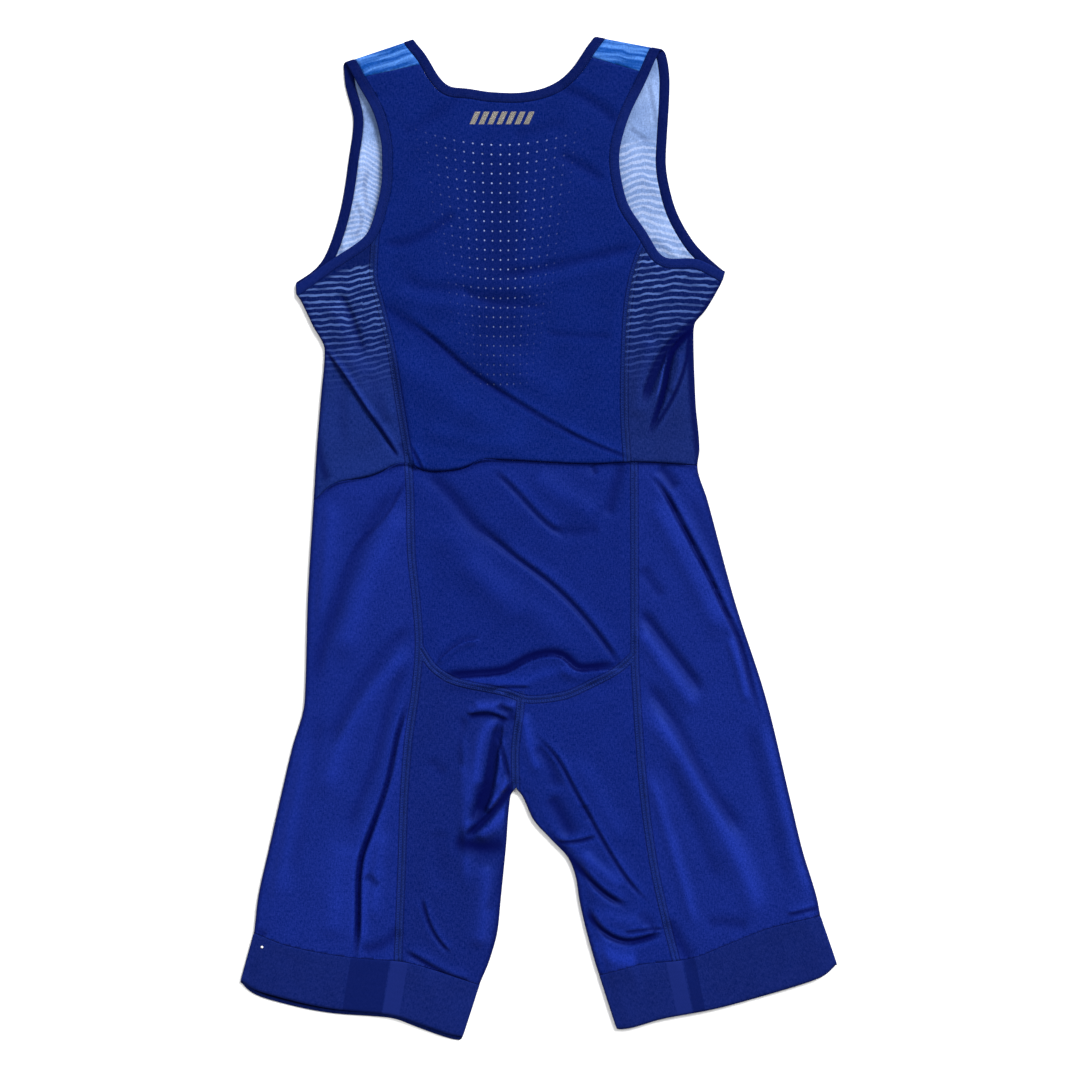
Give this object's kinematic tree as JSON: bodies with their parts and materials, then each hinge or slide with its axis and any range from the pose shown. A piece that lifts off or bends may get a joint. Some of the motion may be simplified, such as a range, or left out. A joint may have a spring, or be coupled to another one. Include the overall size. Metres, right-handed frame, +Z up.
{
  "type": "speedsuit laid flat",
  "caption": "Sleeveless one-piece running suit with short legs, laid flat with its back up, bound neck and armholes and gripper hem bands.",
  "frame": {"origin": "on the surface it lies on, under the middle of its outline", "axes": "+X to the right of the laid suit seen from above, +Y towards its neck, +Z up, out of its back"},
  "size_m": [0.6, 1.0063, 0.0105],
  "materials": {
    "back_mesh": "matt navy perforated knit with pale pin holes between the shoulders",
    "side_print": "navy knit with thin light blue stripes that fade downwards",
    "front_print": "light blue printed knit",
    "body_knit": "smooth navy stretch knit with a soft sheen",
    "binding_knit": "dark navy folded binding",
    "hem_elastic": "dull navy gripper band with a darker and a lighter stripe"
  },
  "bodies": {
    "root": {"back_panel": "back_mesh", "side_panel_left": "side_print", "side_panel_right": "side_print", "front_panel": "front_print", "seat_panel": "body_knit", "leg_outer_left": "body_knit", "leg_outer_right": "body_knit", "leg_inner_left": "body_knit", "leg_inner_right": "body_knit", "front_leg_left": "body_knit", "front_leg_right": "body_knit", "neck_binding": "binding_knit", "armhole_binding_left": "binding_knit", "armhole_binding_right": "binding_knit", "hem_band_left": "hem_elastic", "hem_band_right": "hem_elastic"}
  },
  "joints": []
}
